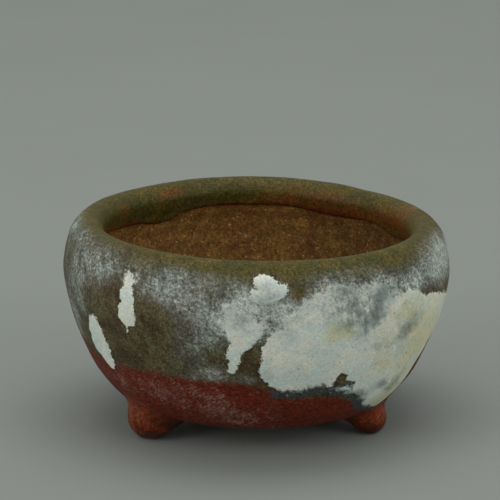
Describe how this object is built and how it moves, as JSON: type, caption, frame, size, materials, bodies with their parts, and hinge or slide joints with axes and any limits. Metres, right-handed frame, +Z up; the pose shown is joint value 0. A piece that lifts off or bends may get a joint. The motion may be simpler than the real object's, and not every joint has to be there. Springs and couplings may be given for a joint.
{
  "type": "bonsai pot",
  "caption": "Small round stoneware bonsai pot with an in-rolled rim, a drained floor, three nub feet, a mottled glaze and thick white glaze patches.",
  "frame": {"origin": "on the table, at the middle of the pot's footprint, midway under its bounding box", "axes": "+Z up through the mouth, -Y towards the side seen in the picture, +X to that side's right"},
  "size_m": [0.0962, 0.0964, 0.0517],
  "materials": {
    "bare_stoneware": "unglazed, coarse and matt",
    "foot_glaze": "thin orange-brown glaze, satin",
    "base_glaze": "mottled olive, grey-blue and red glaze, satin to gloss",
    "white_glaze": "thick cream to pale blue glaze, satin"
  },
  "bodies": {
    "root": {"clay_bowl": "bare_stoneware", "front_left_foot": "foot_glaze", "front_right_foot": "foot_glaze", "rear_foot": "foot_glaze", "base_glaze": "base_glaze", "white_glaze_patches": "white_glaze"}
  },
  "joints": []
}
